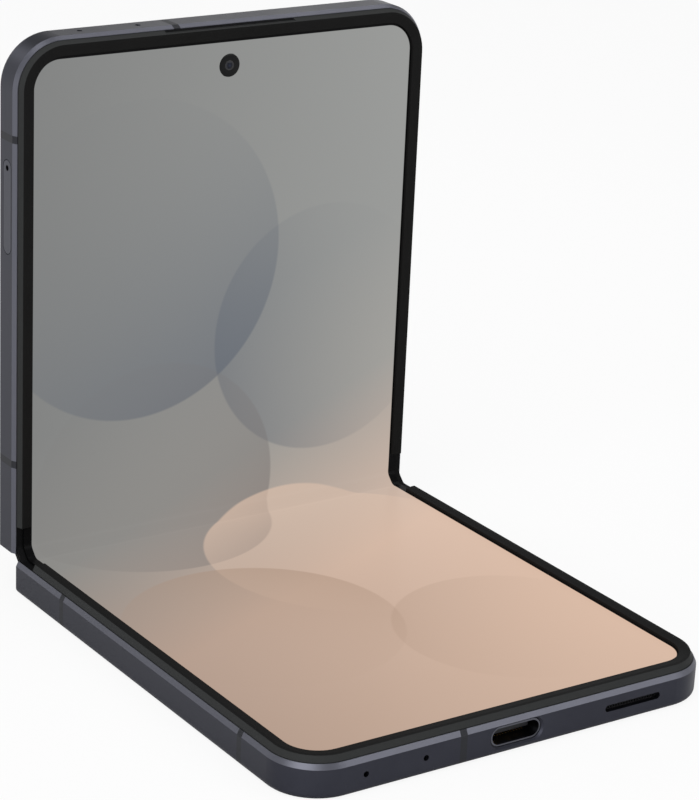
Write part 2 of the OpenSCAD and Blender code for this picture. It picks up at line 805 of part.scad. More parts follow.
module hinge_blocks() {
    color([0.5, 0.5, 0.52]) in_spine() {
        for (c = [-1, 1]) translate([c * block_x, 0, 0]) difference() {
            along_x(-block_half, block_half) below(-block_top) {
                for (s = [-1, 1]) translate([s * axis_e, 0]) circle(spine_in - 0.02);
                translate([-axis_e, -spine_in]) square([2 * axis_e, spine_in]);
            }
            rail_groove(arm_x0, arm_x1, -axis_e);
            rail_groove(-arm_x1, -arm_x0, axis_e);
            box([-pocket_x, -spine_in, -9], [pocket_x, spine_in, 0]);
            for (p = [pinion_p, other(pinion_p), idler_p, other(idler_p)])
                along_shaft(p, shaft_r + run_gap, shaft_half + 0.1);
            for (s = [-1, 1]) translate([s * block_screw_x, 0, 0]) {
                translate([0, 0, -9]) cylinder(h = 9, r = block_screw_r + run_gap);
                translate([0, 0, -block_top - 0.45]) cylinder(h = 1, r = 0.85);
            }
        }
        rod_places() {
            translate([0, 0, -eps]) cylinder(h = rod_l, r = rod_r);
            translate([0, 0, rod_l - 0.5]) cylinder(h = 0.5, r = rod_head_r);
        }
    }
}

// rods on the blocks' inner ends, drawn upwards from each block's face
module rod_places() {
    for (s = [-1, 1]) for (y = [-rod_y, rod_y])
        translate([s * (block_x - block_half), y, -rod_w]) rotate([0, -s * 90, 0]) children();
}

// stacks of cone-shaped spring washers on the rods
module friction_springs() {
    r0 = rod_r + 0.05;
    color([0.75, 0.75, 0.77]) in_spine() rod_places() for (k = [0:washers - 1])
        translate([0, 0, 0.05 + washer_step * k]) rotate_extrude() polygon(k % 2 == 0 ?
            [[r0, 0], [washer_r, washer_rise], [washer_r, washer_rise + washer_t], [r0, washer_t]] :
            [[r0, washer_rise], [washer_r, 0], [washer_r, washer_t], [r0, washer_rise + washer_t]]);
}

module hinge_end_caps() {
    color([0.15, 0.15, 0.16]) in_spine() for (s = [0, 1]) mirror([s, 0, 0]) along_x(spine_hx, cap_x)
        difference() {
            spine_shape(cap_r, cap_top);
            translate([-9, -9 - cap_bottom]) square([18, 9]);
        }
}

module block_screws() {
    color([0.7, 0.7, 0.72]) in_spine() block_screw_places(0) {
        translate([0, 0, -spine_r + 0.2]) cylinder(h = spine_r - 0.2 - block_top - 0.1, r = block_screw_r);
        translate([0, 0, -block_top - 0.45]) cylinder(h = 0.35, r = 0.8);
    }
}

// a gear on its own shaft: its place, tooth angle, tooth count and stretch along X
module gear(p, a, n, x0, x1) {
    color([0.72, 0.7, 0.62]) in_spine() for (c = [-1, 1]) translate([c * block_x, 0, 0]) {
        along_x(x0, x1) translate(p) toothed(n, a);
        along_shaft(p, shaft_r, shaft_half);
    }
}

module lower_pinions() {
    gear(pinion_p, pinion_a + fold_a * sector_n / pinion_n, pinion_n, tooth_x0, gear_x);
}

module lower_idlers() {
    gear(idler_p, idler_a - fold_a * sector_n / idler_n, idler_n, -gear_x, gear_x);
}

module upper_idlers() {
    gear(other(idler_p), idler2_a + fold_a * sector_n / idler_n, idler_n, -gear_x, gear_x);
}

module upper_pinions() {
    gear(other(pinion_p), pinion2_a - fold_a * sector_n / pinion_n, pinion_n, -gear_x, -tooth_x0);
}

// one side of a bent strip, as a drawing of Y and W: its depth below the display surface,
// its thickness, and how far past the hinge axis its flat stretch goes
module bent_strip(depth, t, reach) {
    c = [0, curve_w + fold_r];
    r = fold_r + depth;
    far = axis_p + reach * [-cos(fold_a), sin(fold_a)] - depth * [sin(fold_a), cos(fold_a)];
    polygon(concat([for (i = [0:curve_steps]) c + r * bend(i)],
        [far, far - t * [sin(fold_a), cos(fold_a)]],
        [for (i = [curve_steps:-1:0]) c + (r + t) * bend(i)]));
}

function bend(i) = let (a = -90 - fold_a * i / curve_steps) [cos(a), sin(a)];

module hinge_flex() {
    depth = display_z - mid_z + 0.05;
    color([0.55, 0.35, 0.1]) in_spine() along_x(-flex_w / 2, flex_w / 2) for (s = [0, 1]) mirror([s, 0])
        bent_strip(depth, flex_t, flex_reach);
}

module display_fold(s) {
    color([0.62, 0.6, 0.58]) in_spine() mirror([0, s, 0])
        along_x(-hx + panel_inset, hx - panel_inset) bent_strip(0, panel_t, flex_a);
}

module display_fold_lower() {
    display_fold(0);
}

module display_fold_upper() {
    display_fold(1);
}

module fold_seal(s) {
    x0 = hx - panel_inset + 0.05;
    color([0.09, 0.09, 0.09]) in_spine() mirror([0, s, 0]) for (k = [0, 1]) mirror([k, 0, 0])
        along_x(x0, cap_x) bent_strip(0, seal_t, bezel_end - 0.05 - axis_e);
}

module fold_seal_lower() {
    fold_seal(0);
}

module fold_seal_upper() {
    fold_seal(1);
}

// ---- upper half --------------------------------------------------------------------

module key_slot(v, l) {
    translate([hx - wall - 1, v, side_z]) slot_x(l + 2 * key_gap, key_h + 2 * key_gap, wall + 2);
}

module upper_frame() {
    x_pin = hx - wall - rocker_back;
    color([0.28, 0.285, 0.32]) in_upper() difference() {
        union() {
            half_frame(-1);
            // lug that carries the volume rocker's pin
            box([x_pin - 0.9, volume_v - 0.9, glass_t], [hx - wall + 0.1, volume_v + 0.9, lug_top]);
        }
        mic_holes(mic_shift);
        key_slot(power_v, power_l);
        key_slot(volume_v, volume_l);
        translate([x_pin, volume_v, glass_t + 0.15]) cylinder(h = ledge_z, r = pin_r + run_gap);
        // slot of the card tray: wide for its face, narrow for its body
        translate([-hx - 1, tray_v, side_z])
            slot_x(tray_l + 2 * key_gap, tray_h + 2 * key_gap, tray_face_t + 1.05);
        box([-hx, tray_v - tray_v0 - key_gap, side_z - tray_body_h / 2 - key_gap],
            [-hx + wall + 1, tray_v + tray_v1 + key_gap, side_z + tray_body_h / 2 + key_gap]);
        translate([-hx, tray_v + pin_dv, side_z]) rotate([0, 90, 0])
            cylinder(h = wall + 1, r = eject_r + 0.1);
        // camera and sound ways
        translate([0, punch_v, mid_z - 1]) cylinder(h = 3, r = punch_r + 0.2);
        box([ear_x, half_l - ear_duct[1], mid_z - eps],
            [ear_x + ear_duct[0], half_l - rim_t - groove, ledge_z + eps]);
    }
}

module upper_antenna_inserts() {
    in_upper() antenna_inserts();
}

module camera_places() {
    for (x = [main_cam_x, wide_cam_x]) translate([x, cam_v, 0]) children();
}

module upper_rear_cover() {
    color([0.1, 0.1, 0.11]) in_upper() difference() {
        slab(glass_inset + 0.05, lip_l + 0.05, 0, glass_t);
        camera_places() translate([0, 0, -1]) cylinder(h = 3, r = ring_r - 0.4);
        translate([flash_x, cam_v + flash_dv, -1]) cylinder(h = 3, r = flash_r + 0.05);
    }
}

module cover_screen() {
    color([0.05, 0.06, 0.08]) in_upper() difference() {
        slab(4, 20, glass_t, screen_top);
        box([wide_cam_x - ring_r - 1.6, cam_v - ring_r - 2, 0], [hx, half_l, 3]);
    }
}

module camera_rings() {
    color([0.33, 0.34, 0.37]) in_upper() camera_places() difference() {
        union() {
            translate([0, 0, -ring_out]) cylinder(h = ring_out - 0.3, r1 = ring_r - 0.25, r2 = ring_r);
            translate([0, 0, -0.3 - eps]) cylinder(h = 0.3 + eps, r = ring_r);
            translate([0, 0, -eps]) cylinder(h = glass_t + eps, r = ring_r - 0.45);
        }
        translate([0, 0, -ring_out - 1]) cylinder(h = ring_out + 0.75, r = lens_r);
        translate([0, 0, -2]) cylinder(h = 4, r = barrel_r + 0.1);
    }
}

module camera_lenses() {
    color([0.04, 0.04, 0.06]) in_upper() camera_places()
        translate([0, 0, -ring_out + 0.15]) cylinder(h = ring_out - 0.4, r = lens_r - 0.02);
}

// camera module of side s: carrier, barrel and front lens
module camera_body(s) {
    translate([-s / 2, -s / 2, cam_z]) cube([s, s, spreader_z - 0.05 - cam_z]);
    translate([0, 0, 0.1]) difference() {
        cylinder(h = cam_z, r = barrel_r);
        translate([0, 0, -1]) cylinder(h = 1.4, r1 = barrel_r - 0.4, r2 = barrel_r - 1.4);
    }
}

module main_camera() {
    color([0.14, 0.14, 0.15]) in_upper() translate([main_cam_x, cam_v, 0]) camera_body(main_cam_s);
}

module wide_camera() {
    color([0.14, 0.14, 0.15]) in_upper() translate([wide_cam_x, cam_v, 0]) camera_body(wide_cam_s);
}

module flash_lamp() {
    color([0.95, 0.9, 0.7]) in_upper() translate([flash_x, cam_v + flash_dv, 0])
        cylinder(h = board_z, r = flash_r);
}

module front_camera() {
    color([0.06, 0.06, 0.07]) in_upper() translate([0, punch_v, 0]) {
        translate([-front_cam_s / 2, -front_cam_s / 2, board_top])
            cube([front_cam_s, front_cam_s, spreader_z - 0.05 - board_top]);
        cylinder_from(spreader_z - 0.1, display_z - 0.3, punch_r - 0.1);
        cylinder_from(display_z - 0.35, display_z - 0.05, punch_r - 0.05);
    }
}

module cylinder_from(z0, z1, r) {
    translate([0, 0, z0]) cylinder(h = z1 - z0, r = r);
}

module earpiece() {
    color([0.12, 0.12, 0.13]) in_upper() difference() {
        box([ear_x, half_l - ear_box[1], board_top],
            [ear_x + ear_box[0], half_l - wall - 0.3, spreader_z - 0.05]);
        translate([ear_x + ear_box[0] / 2, half_l - ear_box[1] / 2 - 0.9, spreader_z - 0.3])
            cylinder(h = 1, r = ear_port_r);
    }
}

module earpiece_mesh() {
    p = rim_t + groove + 0.02;
    color([0.1, 0.1, 0.1]) in_upper() box([-earpiece_l / 2 + 0.05, half_l - p - ear_slot + 0.04, ledge_z],
        [earpiece_l / 2 - 0.05, half_l - p, ledge_z + 0.25]);
}

module main_board() {
    color([0.07, 0.18, 0.12]) in_upper() difference() {
        slab(wall + 2.2, board_up_v, board_z, board_top);
        translate([main_cam_x, cam_v, 0]) cube([main_cam_s + 0.4, main_cam_s + 0.4, 9], center = true);
        translate([wide_cam_x, cam_v, 0]) cube([wide_cam_s + 0.4, wide_cam_s + 0.4, 9], center = true);
    }
}

module shield_can() {
    color([0.68, 0.69, 0.71]) in_upper()
        translate([(can_x0 + can_x1) / 2, board_up_v + can_near, board_top]) difference() {
            linear_extrude(can_h) round_rect(can_w, can_l, 0.8);
            translate([0, 0.2, -eps]) linear_extrude(can_h - 0.2) round_rect(can_w - 0.4, can_l - 0.4, 0.6);
        }
}

module upper_battery() {
    color([0.1, 0.1, 0.11]) in_upper() cell(cell_up_w, cell_up_l, screen_top + 0.1, spreader_z);
}

module heat_spreader() {
    color([0.5, 0.33, 0.22]) in_upper() difference() {
        slab(4, cell_v - 0.5, spreader_z, mid_z);
        translate([0, punch_v, 0]) cylinder(h = 9, r = punch_r + 0.2);
        box([ear_x - 0.5, half_l - ear_duct[1] - 1.8, 0], [ear_x + ear_duct[0] + 0.5, half_l, 9]);
    }
}

module sim_reader() {
    z1 = side_z + tray_body_h / 2 + reader_gap + reader_t;
    color([0.7, 0.7, 0.72]) in_upper() difference() {
        box([-hx + wall + 0.3, tray_v - tray_v0 - 0.5, board_top],
            [-hx + tray_d + reader_back, tray_v + tray_v1 + 0.5, z1]);
        box([-hx, tray_v - tray_v0 - reader_gap, side_z - tray_body_h / 2 - reader_gap],
            [-hx + tray_d + 0.2, tray_v + tray_v1 + reader_gap, z1 - reader_t]);
    }
}

module sim_tray() {
    color([0.3, 0.305, 0.34]) in_upper() difference() {
        union() {
            translate([-hx, tray_v, side_z]) slot_x(tray_l, tray_h, tray_face_t);
            box([-hx + tray_face_t - eps, tray_v - tray_v0, side_z - tray_body_h / 2],
                [-hx + tray_d, tray_v + tray_v1, side_z + tray_body_h / 2]);
        }
        translate([-hx - 1, tray_v + pin_dv, side_z]) rotate([0, 90, 0]) cylinder(h = 4, r = eject_r);
        translate([card_x, card_v, side_z + tray_body_h / 2 - card[2] - 0.05])
            box([-0.05, -0.05, 0], [card[0] + 0.05, card[1] + 0.05, 3]);
        translate([card_x, card_v, 0]) box([1, 1, 0], [card[0] - 1, card[1] - 1, 9]);
    }
}

module sim_card() {
    color([0.85, 0.85, 0.86]) in_upper()
        translate([card_x, card_v, side_z + tray_body_h / 2 - card[2] - 0.05]) linear_extrude(card[2])
            polygon([[0, 0], [card[0], 0], [card[0], card[1] - 1.6], [card[0] - 1.6, card[1]],
                [0, card[1]]]);
}

// side key: its outer bar through the slot and its flange inside
module side_key(v, l, back) {
    x0 = hx - wall - back;
    translate([x0 - eps, v, side_z]) slot_x(l, key_h, wall + back + key_out - 0.15 + eps);
    translate([hx + key_out - 0.15 - eps, v, side_z]) slot_x(l - 0.3, key_h - 0.3, 0.15 + eps);
    translate([x0 - key_in, v, side_z]) slot_x(l + 2 * key_flange, key_h + 2 * key_flange, key_in);
}

module power_key() {
    color([0.3, 0.305, 0.34]) in_upper() side_key(power_v, power_l, power_back);
}

module volume_rocker() {
    color([0.3, 0.305, 0.34]) in_upper() {
        side_key(volume_v, volume_l, rocker_back - key_in / 2);
        translate([hx - wall - rocker_back, volume_v, glass_t + 0.2])
            cylinder(h = mid_z + 0.3 - glass_t - 0.2, r = pin_r);
    }
}

module key_switches() {
    x1 = hx - wall - strip_back;
    color([0.5, 0.5, 0.52]) in_upper() {
        box([x1 - strip_t, power_v - power_l / 2, mid_z - strip_h], [x1, volume_v - strip_split, mid_z]);
        box([x1 - strip_t, volume_v + strip_split, mid_z - strip_h], [x1, volume_v + volume_l / 2, mid_z]);
        box([x1 - strip_t, volume_v - strip_split - 0.1, mid_z - 0.5],
            [x1 - strip_t / 2, volume_v + strip_split + 0.1, mid_z]);
        switch_dome(power_v, x1, strip_back - power_back - key_in - switch_gap);
        for (s = [-1, 1]) switch_dome(volume_v + s * volume_l * 0.3, x1,
            strip_back - rocker_back - key_in / 2 - switch_gap);
    }
}

module switch_dome(v, x, h) {
    translate([x - eps, v, side_z]) rotate([0, 90, 0]) cylinder(h = h + eps, r1 = 1, r2 = 0.7);
}

module upper_microphones() {
    in_upper() microphones(board_top, mic_shift);
}

module upper_bezel() {
    p = rim_t + groove;
    color([0.13, 0.13, 0.13]) in_upper() difference() {
        round_rim(bezel_end) bezel_profile();
        // earpiece slot, next to the rim
        box([-earpiece_l / 2, half_l - p - ear_slot, ledge_z - 1], [earpiece_l / 2, half_l, display_z + 2]);
    }
}

module upper_display_plate() {
    color([0.6, 0.61, 0.63]) in_upper() difference() {
        display_plate();
        translate([0, punch_v, 0]) cylinder(h = 9, r = punch_r + 0.2);
    }
}

module upper_display() {
    color([0.6, 0.58, 0.56]) in_upper() difference() {
        display_panel();
        translate([0, punch_v, 0]) cylinder(h = 9, r = punch_r);
    }
}

module upper_hinge_arms() {
    in_upper() flip(-1) hinge_arms(sector2_a);
}

module upper_screws() {
    in_upper() flip(-1) arm_screws();
}

lower_frame();
lower_antenna_inserts();
lower_rear_cover();
lower_bezel();
lower_display_plate();
lower_display();
lower_battery();
charging_coil();
sub_board();
usb_shell();
usb_tongue();
loudspeaker();
speaker_mesh();
vibration_motor();
lower_microphones();
lower_hinge_arms();
lower_screws();
spine_cover();
hinge_blocks();
hinge_end_caps();
block_screws();
friction_springs();
lower_pinions();
lower_idlers();
upper_idlers();
upper_pinions();
hinge_flex();
display_fold_lower();
display_fold_upper();
fold_seal_lower();
fold_seal_upper();
upper_frame();
upper_antenna_inserts();
upper_rear_cover();
cover_screen();
camera_rings();
camera_lenses();
main_camera();
wide_camera();
flash_lamp();
front_camera();
earpiece();
earpiece_mesh();
main_board();
shield_can();
upper_battery();
heat_spreader();
sim_reader();
sim_tray();
sim_card();
power_key();
volume_rocker();
key_switches();
upper_microphones();
upper_bezel();
upper_display_plate();
upper_display();
upper_hinge_arms();
upper_screws();
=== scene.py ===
import math

import bpy
import numpy as np
from mathutils import Matrix, Vector


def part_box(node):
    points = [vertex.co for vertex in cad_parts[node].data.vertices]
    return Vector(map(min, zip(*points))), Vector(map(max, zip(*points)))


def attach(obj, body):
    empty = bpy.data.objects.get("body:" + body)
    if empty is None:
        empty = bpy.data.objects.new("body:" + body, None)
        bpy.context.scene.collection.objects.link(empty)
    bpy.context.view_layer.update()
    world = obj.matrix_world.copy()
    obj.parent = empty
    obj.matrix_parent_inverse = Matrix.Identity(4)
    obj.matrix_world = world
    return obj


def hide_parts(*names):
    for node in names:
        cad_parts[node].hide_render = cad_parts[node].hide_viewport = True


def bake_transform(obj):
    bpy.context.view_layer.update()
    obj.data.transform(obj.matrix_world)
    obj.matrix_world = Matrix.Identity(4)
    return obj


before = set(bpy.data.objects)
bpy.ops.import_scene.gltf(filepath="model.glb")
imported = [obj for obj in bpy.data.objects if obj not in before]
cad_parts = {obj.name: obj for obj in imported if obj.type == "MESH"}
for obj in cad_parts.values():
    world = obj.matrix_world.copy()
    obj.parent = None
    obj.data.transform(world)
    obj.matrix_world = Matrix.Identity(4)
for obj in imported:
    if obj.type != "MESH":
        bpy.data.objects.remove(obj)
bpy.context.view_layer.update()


# ---- Metal frames ----
# Each half has one frame, milled from a slab of aluminium, bead-blasted and anodised in dark
# slate. The bevel along its rim is painted paler, as a painted highlight where it catches the
# light, and everything else is glued or screwed in.

class Wire:
    """An output socket of a material's node tree. Python's operators on wires and numbers add
    Math nodes, and make() adds any other node."""

    def __init__(self, tree, socket=None):
        self.tree = tree
        self.socket = socket

    def make(self, kind, settings, sockets, output=0):
        """Adds a node: its settings come first, then a value or a wire for each of its sockets.
        The new wire holds the output that is asked for."""
        node = self.tree.nodes.new("ShaderNode" + kind)
        for key, value in settings.items():
            if key == "stops":
                steps = node.color_ramp.elements
                steps[0].position, steps[0].color = value[0]
                steps[1].position, steps[1].color = value[-1]
                for position, colour in value[1:-1]:
                    steps.new(position).color = colour
            else:
                setattr(node, key, value)
        for key, value in sockets.items():
            if isinstance(value, Wire):
                self.tree.links.new(value.socket, node.inputs[key])
            else:
                node.inputs[key].default_value = value
        return Wire(self.tree, node.outputs[output] if node.outputs else None)

    def combined(self, operation, first, second):
        """A Math node on two values or wires."""
        return self.make("Math", {"operation": operation}, {0: first, 1: second})

    def __add__(self, other):
        return self.combined("ADD", self, other)

    __radd__ = __add__

    def __sub__(self, other):
        return self.combined("SUBTRACT", self, other)

    def __rsub__(self, other):
        return self.combined("SUBTRACT", other, self)

    def __mul__(self, other):
        return self.combined("MULTIPLY", self, other)

    __rmul__ = __mul__

    def __truediv__(self, other):
        return self.combined("DIVIDE", self, other)

    def __pow__(self, other):
        return self.combined("POWER", self, other)

    def __abs__(self):
        return self.combined("ABSOLUTE", self, 0.0)


def held(wire):
    """The wire kept between 0 and 1."""
    return wire.make("Clamp", {}, {"Value": wire})


def at_least(wire, low):
    """The larger of the wire and a number."""
    return wire.combined("MAXIMUM", wire, low)


def mixed(share, first, second):
    """A colour that goes from first to second as share goes from 0 to 1."""
    return share.make("Mix", {"data_type": "RGBA"}, {0: share, 6: first, 7: second}, 2)


def noise(place, size, detail=2.0):
    """Soft noise from 0 to 1, whose patches measure about size metres."""
    return place.make("TexNoise", {}, {"Vector": place, "Scale": 1 / size, "Detail": detail})


def relief(height, depth, strength):
    """A normal that follows height, from 0 to 1, over a relief that is depth metres high."""
    return height.make("Bump", {}, {"Height": height, "Distance": depth, "Strength": strength})


def stretched(place, scale):
    """The place with each axis multiplied by its own number."""
    return place.make("VectorMath", {"operation": "MULTIPLY"}, {0: place, 1: scale})


def tone(red, green, blue):
    """A colour as a screen shows it, 0 to 255, as the linear values that a shader takes: below a
    small step it is a straight share, and above it the power 2.4 of the raised share."""
    share = np.array([red, green, blue]) / 255
    linear = np.where(share < 0.04045, share / 12.92, ((share + 0.055) / 1.055) ** 2.4)
    return (*linear.tolist(), 1.0)


def finish(name, look):
    """A material. look takes the wire of a point's place on the piece, in metres, and gives the
    values of the shader's sockets."""
    material = bpy.data.materials.new(name)
    material.use_nodes = True
    material.node_tree.nodes.clear()
    place = Wire(material.node_tree).make("TexCoord", {}, {}, "Object")
    shader = place.make("BsdfPrincipled", {}, look(place))
    place.make("OutputMaterial", {}, {"Surface": shader})
    return material


def dress(material, *names):
    """Gives the CAD nodes of these names their material."""
    for name in names:
        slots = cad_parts[name].data.materials
        slots.clear()
        slots.append(material)


def anodised(dark, light, roughness):
    """Blasted and dyed aluminium: cloudy by a few per cent, with a grain of a twentieth of a
    millimetre."""
    def look(place):
        cloud = noise(place, 0.006, 4.0)
        grain = noise(place, 0.00009)
        return {"Base Color": mixed(held(cloud * 0.8 + grain * 0.3 - 0.05), dark, light),
                "Metallic": 1.0,
                "Roughness": roughness - 0.04 + 0.08 * cloud,
                "Normal": relief(grain, 0.000006, 0.35)}
    return look


def part_of(place, axis):
    """One coordinate of a place."""
    return place.make("SeparateXYZ", {}, {"Vector": place}, axis)


bevel_start = 0.00464
bevel_blur = 0.00002
upper_rear = 0.04790992


def painted_bevel_highlight_metal(height_of):
    """The frame's metal, whose bevel is painted paler than its faces: a painted highlight along
    the rim. height_of gives a point's height above its half's rear face, and the bevel lies above
    bevel_start."""
    def look(place):
        bevel_highlight_mask = held((height_of(place) - bevel_start) / bevel_blur)
        values = anodised(tone(54, 55, 63), tone(65, 66, 75), 0.42)(place)
        # The bevel's paler base colour is a painted highlight.
        values["Base Color"] = mixed(bevel_highlight_mask, values["Base Color"], tone(101, 102, 111))
        return values
    return look


dress(finish("frame_metal_lower", painted_bevel_highlight_metal(lambda place: part_of(place, "Z"))), "lower_frame")
dress(finish("frame_metal_upper", painted_bevel_highlight_metal(lambda place: upper_rear - part_of(place, "Y"))),
      "upper_frame")


# ---- Antenna breaks ----
# Polymer is moulded through slots in each frame, so that the metal's parts can serve as
# antennas. It is machined flush with the metal, and is darker than it.

def moulded(dark, light, roughness, grain=0.00012, depth=0.000008, shine=0.4):
    """Moulded polymer: a spark-eroded skin of fine pits, with a slightly cloudy colour."""
    def look(place):
        cloud = noise(place, 0.004, 3.0)
        pits = noise(place, grain)
        return {"Base Color": mixed(held(cloud * 0.7 + pits * 0.3), dark, light),
                "Roughness": roughness - 0.05 + 0.1 * pits,
                "Specular IOR Level": shine,
                "Normal": relief(pits, depth, 0.5)}
    return look


insert_polymer = finish("insert_polymer",
                        moulded(tone(28, 29, 34), tone(36, 37, 42), 0.5, shine=0.25))
dress(insert_polymer, "lower_antenna_inserts", "upper_antenna_inserts")


# ---- Circuit boards ----
# Glass-epoxy boards under dark green solder mask. Copper tracks run in bundles below it, and
# the plated pads show as a fine pattern of bright dots.

track_scale = 900.0
pad_scale = 700.0
pad_radius = 0.28


def board_look(place):
    """Solder mask over tracks: bands of a brick pattern, with small round pads strewn over it."""
    tracks = place.make("TexBrick", {"offset": 0.5},
                        {"Vector": place, "Scale": track_scale, "Mortar Size": 0.09}, "Fac")
    distance = place.make("TexVoronoi", {"feature": "F1"}, {"Vector": place, "Scale": pad_scale})
    pad = held((pad_radius - distance) * 40.0)
    return {"Base Color": mixed(pad, mixed(tracks, tone(22, 52, 38), tone(34, 74, 52)),
                                tone(196, 168, 110)),
            "Metallic": pad,
            "Roughness": 0.42 - 0.1 * pad,
            "Normal": relief(tracks + pad, 0.00003, 0.6)}


dress(finish("circuit_board", board_look), "sub_board", "main_board")


# ---- Pressed steel boxes and cans ----
# The shield over the chips, the card reader, the microphones, the switch domes and the
# vibration motor's case are pressed from thin nickel-plated steel.

def rolled(dark, light, roughness, along=(1.0, 12.0, 12.0), lines=0.002):
    """Rolled or brushed sheet: noise drawn out along one axis, in colour, gloss and relief."""
    def look(place):
        drawn = noise(stretched(place, along), lines, 4.0)
        spots = noise(place, 0.0007)
        return {"Base Color": mixed(drawn, dark, light),
                "Metallic": 1.0,
                "Roughness": roughness - 0.06 + 0.12 * (drawn * 0.7 + spots * 0.3),
                "Normal": relief(drawn, 0.00001, 0.4)}
    return look


bright_steel = finish("bright_steel", rolled(tone(168, 170, 174), tone(205, 206, 209), 0.3))
dress(bright_steel, "shield_can", "sim_reader", "lower_microphones", "upper_microphones",
      "key_switches", "vibration_motor")


# ---- Battery cells ----
# Two pouch cells share the load, one in each half. Each is wrapped in black film, which
# wrinkles a little where it is folded over the cell's sides.

def wrap_look(place):
    """Film over a pouch: long shallow creases, with a matt mottle."""
    crease = noise(stretched(place, (1.0, 0.35, 0.35)), 0.004, 5.0)
    mottle = noise(place, 0.0004)
    return {"Base Color": mixed(crease, tone(20, 20, 22), tone(34, 34, 37)),
            "Roughness": 0.34 + 0.2 * mottle,
            "Normal": relief(crease, 0.00012, 0.5)}


dress(finish("cell_wrap", wrap_look), "lower_battery", "upper_battery")


# ---- Charging coil and heat spreader ----
# The coil is flat copper wire wound on a ferrite sheet, and the spreader is a thin sheet of
# copper that carries the chips' heat along the upper half.

copper = finish("copper", rolled(tone(176, 96, 62), tone(214, 132, 92), 0.34, (3.0, 1.0, 3.0)))
dress(copper, "charging_coil", "heat_spreader")


# ---- Sound and camera bodies ----
# Loudspeaker box, earpiece and camera housings are moulded in black glass-filled polymer,
# and screwed or glued into pockets of the frames.

body_black = finish("body_black",
                    moulded(tone(24, 24, 26), tone(38, 38, 41), 0.5, 0.0002, 0.00002))
dress(body_black, "loudspeaker", "earpiece", "front_camera", "main_camera", "wide_camera")


# ---- Sound meshes ----
# Woven steel mesh, blackened, behind the speaker slot and in the earpiece slot. It keeps dust
# out and lets the sound through.

weave_pitch = 0.00025


def wave(length, pitch):
    """The sine of a length in turns of one pitch: 2 pi times the length over the pitch."""
    return length.make("Math", {"operation": "SINE"}, {0: length * (2 * math.pi / pitch)})


def mesh_look(place):
    """A plain weave: the product of two waves, one across and one along, raises each crossing
    of the wires."""
    across, up = wave(part_of(place, "X"), weave_pitch), wave(part_of(place, "Z"), weave_pitch)
    wires = held(0.5 + 0.5 * across * up)
    return {"Base Color": mixed(wires, tone(5, 5, 6), tone(34, 34, 37)),
            "Metallic": 0.6,
            "Roughness": 0.55 - 0.15 * wires,
            "Normal": relief(wires, 0.00006, 0.8)}


dress(finish("sound_mesh", mesh_look), "speaker_mesh", "earpiece_mesh")


# ---- Charging port ----
# A drawn stainless shell, with its bright rim at the mouth of the slot, round a moulded tongue.
# Twelve gold-plated contacts lie in each face of the tongue.

port_steel = finish("port_steel",
                    rolled(tone(84, 85, 92), tone(104, 105, 113), 0.3, (8.0, 1.0, 8.0)))
dress(port_steel, "usb_shell")
tongue_black = finish("tongue_black", moulded(tone(14, 14, 15), tone(24, 24, 26), 0.42))
dress(tongue_black, "usb_tongue")


def skin(name, points, body, material, smooth=0.6):
    """A closed mesh over a grid of points: points[i, j] goes round the section with i and on
    along the piece with j. The section closes on itself, and a face closes each end. Edges that
    turn by more than smooth radians stay sharp. The piece rides on its body."""
    around, along = points.shape[:2]
    i, j = np.meshgrid(np.arange(around), np.arange(along - 1), indexing="ij")
    k = (i + 1) % around
    cells = np.stack([i * along + j, k * along + j, k * along + j + 1, i * along + j + 1], -1)
    ring = np.arange(around) * along
    ends = [ring[::-1].tolist(), (ring + along - 1).tolist()]
    mesh = bpy.data.meshes.new(name)
    mesh.from_pydata(points.reshape(-1, 3).tolist(), [], cells.reshape(-1, 4).tolist() + ends)
    mesh.shade_smooth()
    mesh.set_sharp_from_angle(angle=smooth)
    mesh.materials.append(material)
    piece = bpy.data.objects.new(name, mesh)
    bpy.context.scene.collection.objects.link(piece)
    if body:
        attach(piece, body)
    return piece


tongue_low, tongue_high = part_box("usb_tongue")
contacts_a_face = 12
contact_pitch = 0.0005
contact_half = 0.00013
contact_proud = 0.00004
contact_start = 0.0004
contact_length = 0.0032
gold = finish("contact_gold", rolled(tone(214, 170, 92), tone(240, 204, 132), 0.28))


def contact_bar(x, z, up):
    """A flat bar with rounded shoulders: an ellipse section of power four, carried along the
    tongue and narrowed to a third at both ends."""
    turn = np.linspace(0, 2 * np.pi, 12, endpoint=False)
    run = np.linspace(0, 1, 9)
    width = contact_half * np.minimum(1, 0.35 + 2.6 * np.minimum(run, 1 - run))
    right, rise = (np.sign(side) * np.abs(side) ** 0.5 for side in (np.cos(turn), np.sin(turn)))
    across = x + right[:, None] * width
    height = z + up * contact_proud * np.maximum(rise, -0.5)[:, None] * np.ones(9)
    depth = tongue_low[1] + contact_start + contact_length * run + np.zeros((12, 1))
    points = np.stack([across, depth, height], -1)
    return points if up < 0 else points[::-1]


for number in range(2 * contacts_a_face):
    up = 1 if number < contacts_a_face else -1
    face = tongue_high[2] if up > 0 else tongue_low[2]
    place_in_row = number % contacts_a_face - (contacts_a_face - 1) / 2
    bar = contact_bar(place_in_row * contact_pitch, face, up)
    skin(f"port_contact_{number + 1}", bar, "lower_half", gold)


# ---- Hinge arms, blocks and screws ----
# Arms and blocks are sintered steel, ground where they slide. The arms' curved rails run in
# the blocks' grooves, which puts the hinge axes in the display's surface.

sintered = finish("sintered_steel",
                  rolled(tone(120, 122, 126), tone(158, 160, 164), 0.38, (1.0, 4.0, 4.0)))
dress(sintered, "lower_hinge_arms", "upper_hinge_arms", "hinge_blocks")
screw_steel = finish("screw_steel",
                     rolled(tone(140, 141, 145), tone(190, 191, 194), 0.3, (6.0, 6.0, 1.0), 0.0006))
dress(screw_steel, "lower_screws", "upper_screws", "block_screws")


# ---- Timing gears and friction springs ----
# Four small gears in each block, on hard steel shafts, keep the halves in step. Stacks of cone
# washers hold the phone at any angle. All of them run in clear grease.

